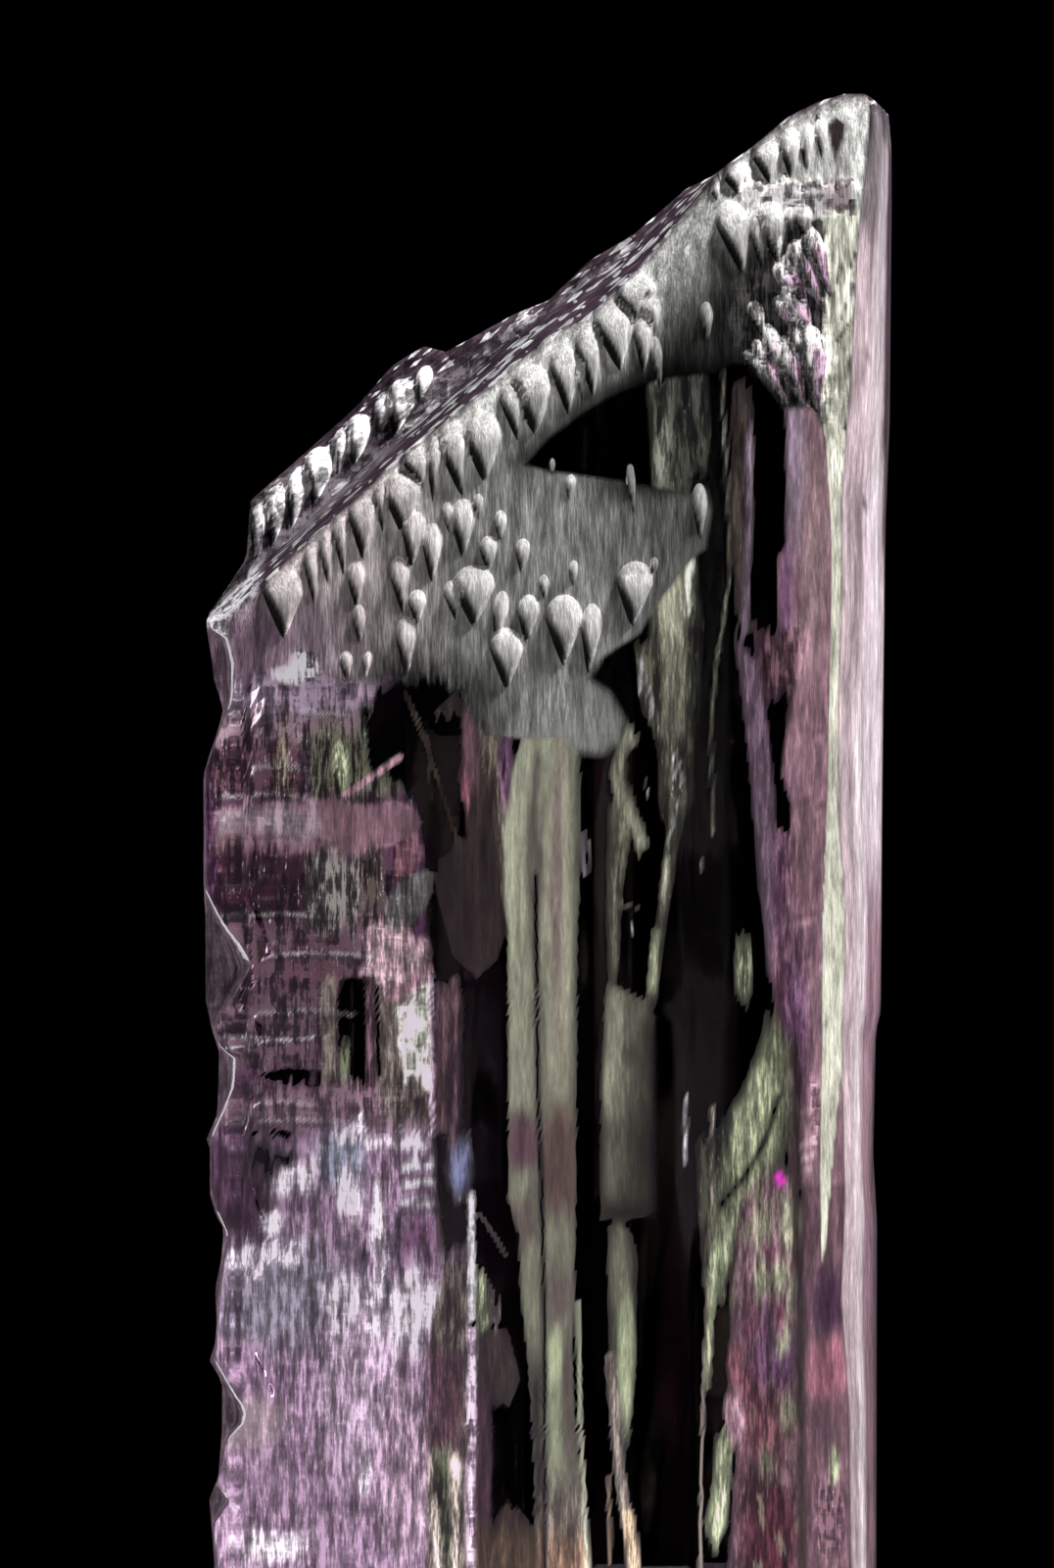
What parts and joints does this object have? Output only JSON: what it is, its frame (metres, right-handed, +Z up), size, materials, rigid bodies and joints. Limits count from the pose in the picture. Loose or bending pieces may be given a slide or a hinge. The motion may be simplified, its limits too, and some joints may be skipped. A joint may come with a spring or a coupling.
{
  "type": "kunzite crystal",
  "caption": "Tall flattened lilac gem crystal with a slanting etched termination, bevelled right side and chipped left edge, standing on its flat cut base.",
  "frame": {"origin": "centre of the bounding box on the cut base, where the crystal stands", "axes": "+Z up along the crystal, +Y from the broad front face to the ribbed back, +X to the bevelled side under the tip"},
  "size_m": [0.071, 0.028, 0.168],
  "materials": {
    "kunzite": "see-through lilac gem, polished natural faces with a satin etched zone below the termination"
  },
  "bodies": {
    "root": {"kunzite_crystal": "kunzite"}
  },
  "joints": []
}
